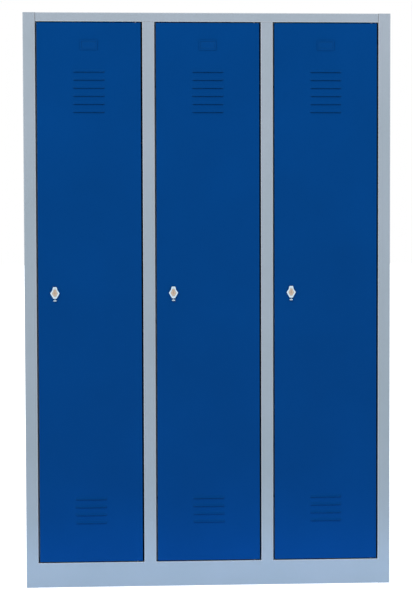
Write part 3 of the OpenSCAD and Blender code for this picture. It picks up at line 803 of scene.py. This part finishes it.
# Fixed base of the latch: a bezel on the door and a threaded barrel through it, as one ring profile
def latchBase(bay):
    low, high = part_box("lock_plate_" + bay)
    x, z, deep = (low.x + high.x) / 2, (low.z + high.z) / 2, high.y - low.y
    bezel, sheet = front - low.y, fold["sheet"]
    pitch, r, barrel, b = (latchPlate[k] for k in ("pitch", "bezelRadius", "barrelRadius", "bore"))
    root = barrel - latchPlate["thread"]
    crests = np.arange(bezel + sheet, deep - pitch, pitch)
    thread = np.stack([np.tile([barrel, root], len(crests)), (crests[:, None] + [0, pitch / 2]).ravel()], -1)
    rim = [(r - inset * mm, back * mm) for inset, back in latchPlate["bezelEdge"]]
    points = [(b, 0), *rim, (r, bezel), (barrel, bezel), *thread, (root, deep), (b, deep), (b, 0)]
    makePiece("latch_base_" + bay, [turned(points, (x, low.y, z), "y", 64)], latchChrome, "door_" + bay,
              ["lock_plate_" + bay])


# (share of the corner radius, depth before the nut's outer end in mm)
nutCone = [(1.0, 1.4), (0.965, 0.9), (0.93, 0.45), (0.9, 0)]


# Hexagon nut: radius = apothem / cos(angle from the nearest flat's middle), cut at the outer end by
# a cone, so each ring takes the smaller of the hexagon and the cone's circle
def latchNut(bay):
    low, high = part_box("lock_nut_" + bay)
    x, z, deep = (low.x + high.x) / 2, (low.z + high.z) / 2, high.y - low.y
    corner, flat, bore = (high.x - low.x) / 2, (high.z - low.z) / 2, latchPlate["barrelRadius"]
    angle = np.radians(np.arange(0, 365, 5))
    hexagon = flat / np.cos((angle % math.radians(60)) - math.radians(30))
    cone = [(share * corner, deep - before * mm) for share, before in nutCone]
    levels = [(bore, 0), (corner, 0), *cone, (bore, deep), (bore, 0)]
    limit, height = np.array(levels).T[:, :, None]
    radius = np.minimum(hexagon[None], limit)
    grid = [x + radius * np.cos(angle), low.y + height, z + radius * np.sin(angle)]
    grid = np.stack(np.broadcast_arrays(*grid), -1)
    makePiece("latch_nut_" + bay, [grid], zincPlate, "door_" + bay, ["lock_nut_" + bay],
              flatAngle=20)


armEdge = 0.4 * mm    # height of the arm's worn edge


# Locking arm: rings of a rounded strip, with its edges broken by the press
def latchArm(bay):
    low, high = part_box("lock_cam_" + bay)
    half, tall, thick = (high.x - low.x) / 2, (high.z - low.z) / 2, high.y - low.y
    edge, worn = armEdge, bevelShare * armEdge
    levels = [(half, 0), (edge, 0), (worn, worn), (0, edge), (0, thick - edge),
              (worn, thick - worn), (edge, thick), (half, thick)]
    rings = platedRings(half, tall, half, levels, steps=12)
    grid = np.stack([(low.x + high.x) / 2 + rings[..., 0], low.y + rings[..., 2],
                     (low.z + high.z) / 2 + rings[..., 1]], -1)
    makePiece("latch_arm_" + bay, [grid], zincPlate, "latch_" + bay, ["lock_cam_" + bay])
    low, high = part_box("cam_screw_" + bay)
    middle = ((low.x + high.x) / 2, low.y, (low.z + high.z) / 2)
    head = slottedHead(middle, (high.x - low.x) / 2, high.y - low.y, 1)
    makePiece("arm_screw_" + bay, head, zincPlate, "latch_" + bay, ["cam_screw_" + bay])


for bay in bays:
    latchHandle(bay)
    latchBase(bay)
    latchNut(bay)
    latchArm(bay)
print("latches made")


def addObject(name, data):
    thing = bpy.data.objects.new(name, data)
    bpy.context.scene.collection.objects.link(thing)
    return thing


studio = {
    "floor": "#F6F8FA", "floorHalf": 40.0, "floorGlow": 0.4, "floorTint": "#F4F8FF",
    "backdrop": 1.0,                     # brightness of the white room as the camera sees it
    "towardsDoors": 0.36, "aside": 0.96,   # its light from straight ahead and behind, and from all round
    "narrowness": 4.0,                   # power of y squared that parts the two
}
reach = studio["floorHalf"]
floorMesh = bpy.data.meshes.new("studio_floor")
corners = [(-reach, -reach, 0), (reach, -reach, 0), (reach, reach, 0), (-reach, reach, 0)]
floorMesh.from_pydata(corners, [], [(0, 1, 2, 3)])
floorPaint, tree, shader, place = newFinish("paleStudioFloor")
shader.inputs["Base Color"].default_value = hexColour(studio["floor"])
shader.inputs["Roughness"].default_value = 0.9
shader.inputs["Specular IOR Level"].default_value = 0.0
shader.inputs["Emission Color"].default_value = hexColour(studio["floorTint"])
shader.inputs["Emission Strength"].default_value = studio["floorGlow"]
floorMesh.materials.append(floorPaint)
floor = addObject("studio_floor", floorMesh)
floor.visible_glossy = False

world = bpy.data.worlds.new("whiteRoom")
bpy.context.scene.world = world
world.use_nodes = True
tree = world.node_tree
tree.nodes.clear()
way = addNode(tree, "ShaderNodeTexCoord").outputs["Generated"]
ahead = addNode(tree, "ShaderNodeSeparateXYZ", i0=way).outputs[1]
square = addNode(tree, "ShaderNodeMath", {"operation": "MULTIPLY"}, i0=ahead, i1=ahead)
narrow = addNode(tree, "ShaderNodeMath", {"operation": "POWER"},
                 i0=square.outputs[0], i1=studio["narrowness"])
light = addNode(tree, "ShaderNodeMapRange", Value=narrow.outputs[0],
                i3=studio["aside"], i4=studio["towardsDoors"])
seen = addNode(tree, "ShaderNodeLightPath").outputs["Is Camera Ray"]
strength = addNode(tree, "ShaderNodeMix", i0=seen, i2=light.outputs[0], i3=studio["backdrop"])
glow = addNode(tree, "ShaderNodeBackground", Strength=strength.outputs[0])
glow.inputs["Color"].default_value = (1.0, 1.0, 1.0, 1.0)
addNode(tree, "ShaderNodeOutputWorld", Surface=glow.outputs[0])


# Turns a lamp or a camera so that its back, its -view, points along backward
def aimed(thing, place, backward, sideways):
    backward = np.array(backward) / np.linalg.norm(backward)
    sideways = np.array(sideways) / np.linalg.norm(sideways)
    columns = np.eye(4)
    columns[:3, 0], columns[:3, 1] = sideways, np.cross(backward, sideways)
    columns[:3, 2], columns[:3, 3] = backward, place
    thing.matrix_world = Matrix(columns)


# A lamp lights the paint, but isn't mirrored: the plated parts mirror only the bright room
def hangLamp(name, lamp, colour, place, away):
    lamp.color = hexColour(colour)[:3]
    hung = addObject(name, lamp)
    hung.visible_glossy = False
    aimed(hung, place, away, np.cross((0, 0, 1), away))


softSuns = [   # name, direction that it comes from, spread in degrees, strength, colour
    ("frontSoftbox", (-0.38, -0.62, 0.69), 14, 1.43, "#FFFFFF"),
    ("rearSoftbox", (0.45, 0.70, 0.55), 40, 0.72, "#FFFFFF"),
]
for name, source, opening, strength, colour in softSuns:
    lamp = bpy.data.lights.new(name, "SUN")
    lamp.angle, lamp.energy = math.radians(opening), strength
    hangLamp(name, lamp, colour, source, source)

# Two warm panels beside the locker's head and a cool one low before its plinth
panels = [   # name, place, the spot that it faces, width and height in metres, watts, colour
    ("headPanelLeft", (-2.0, -1.9, 2.2), (0.0, -0.25, 3.15), (0.8, 0.8), 41.2, "#FFD5C6"),
    ("headPanelRight", (2.0, -1.9, 2.2), (0.0, -0.25, 3.15), (0.8, 0.8), 41.2, "#FFD5C6"),
    ("plinthPanel", (0.0, -0.46, 0.03), (0.0, -0.25, 0.02), (1.6, 0.04), 1.25, "#A0CCFF"),
]
for name, place, target, size, watts, colour in panels:
    lamp = bpy.data.lights.new(name, "AREA")
    lamp.shape = "RECTANGLE"
    lamp.size, lamp.size_y = size
    lamp.energy = watts
    hangLamp(name, lamp, colour, place, np.array(place) - target)

eye = {
    "place": (-0.3151, front - 5.4131, 1.1515),
    "yaw": 3.270, "pitch": -2.614, "roll": -0.162,   # degrees
    "lens": 103.7, "sensor": 36.0,
}
yaw, pitch, roll = (math.radians(eye[k]) for k in ("yaw", "pitch", "roll"))
forward = np.array([math.sin(yaw) * math.cos(pitch), math.cos(yaw) * math.cos(pitch), math.sin(pitch)])
level = np.array([math.cos(yaw), -math.sin(yaw), 0])
lensData = bpy.data.cameras.new("camera")
lensData.lens, lensData.sensor_width = eye["lens"], eye["sensor"]
camera = addObject("camera", lensData)
aimed(camera, eye["place"], -forward, math.cos(roll) * level + math.sin(roll) * np.cross(level, forward))
bpy.context.scene.camera = camera
bpy.context.scene.view_settings.view_transform = "Standard"
print("stage set")
